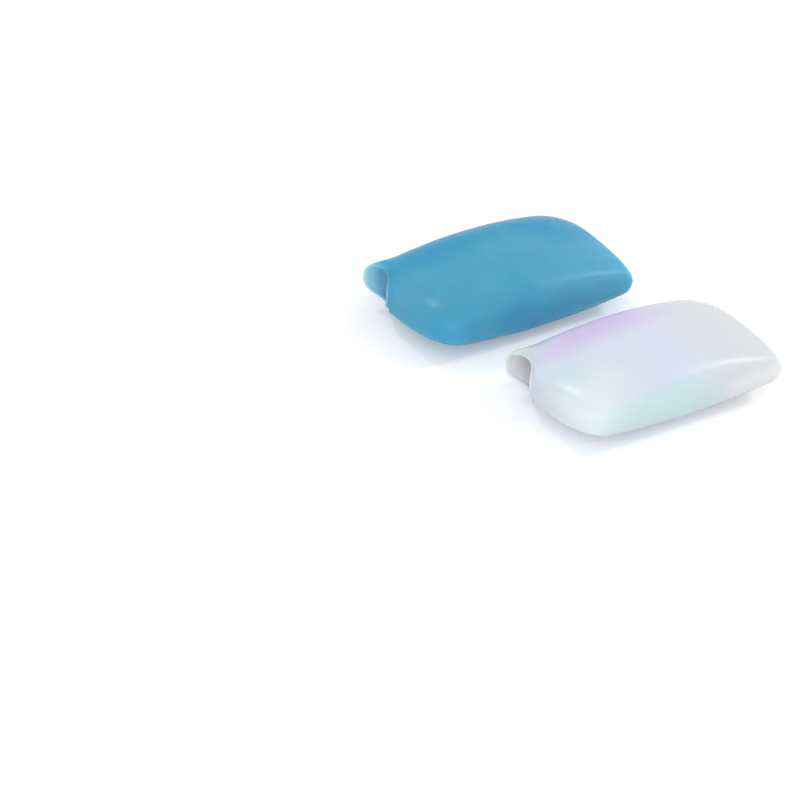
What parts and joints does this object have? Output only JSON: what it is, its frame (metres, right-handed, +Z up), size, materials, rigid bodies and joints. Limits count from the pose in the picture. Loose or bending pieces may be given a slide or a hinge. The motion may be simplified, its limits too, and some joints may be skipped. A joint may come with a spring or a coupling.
{
  "type": "toothbrush head cover",
  "caption": "Soft silicone pouches for toothbrush heads, with rounded corners and an oval mouth at the back corner, lying flat, in blue and in frosted clear.",
  "frame": {"origin": "centre of the pair's box, on the surface that both covers lie on", "axes": "+X from the mouths towards the closed tips, +Y from the near sides towards the back sides, +Z up"},
  "size_m": [0.067, 0.081, 0.0176],
  "materials": {
    "blue_silicone": "matte frosted translucent silicone",
    "frosted_silicone": "matte frosted translucent silicone, nearly colourless"
  },
  "bodies": {
    "root": {"blue_cover": "blue_silicone", "frosted_cover": "frosted_silicone"}
  },
  "joints": []
}
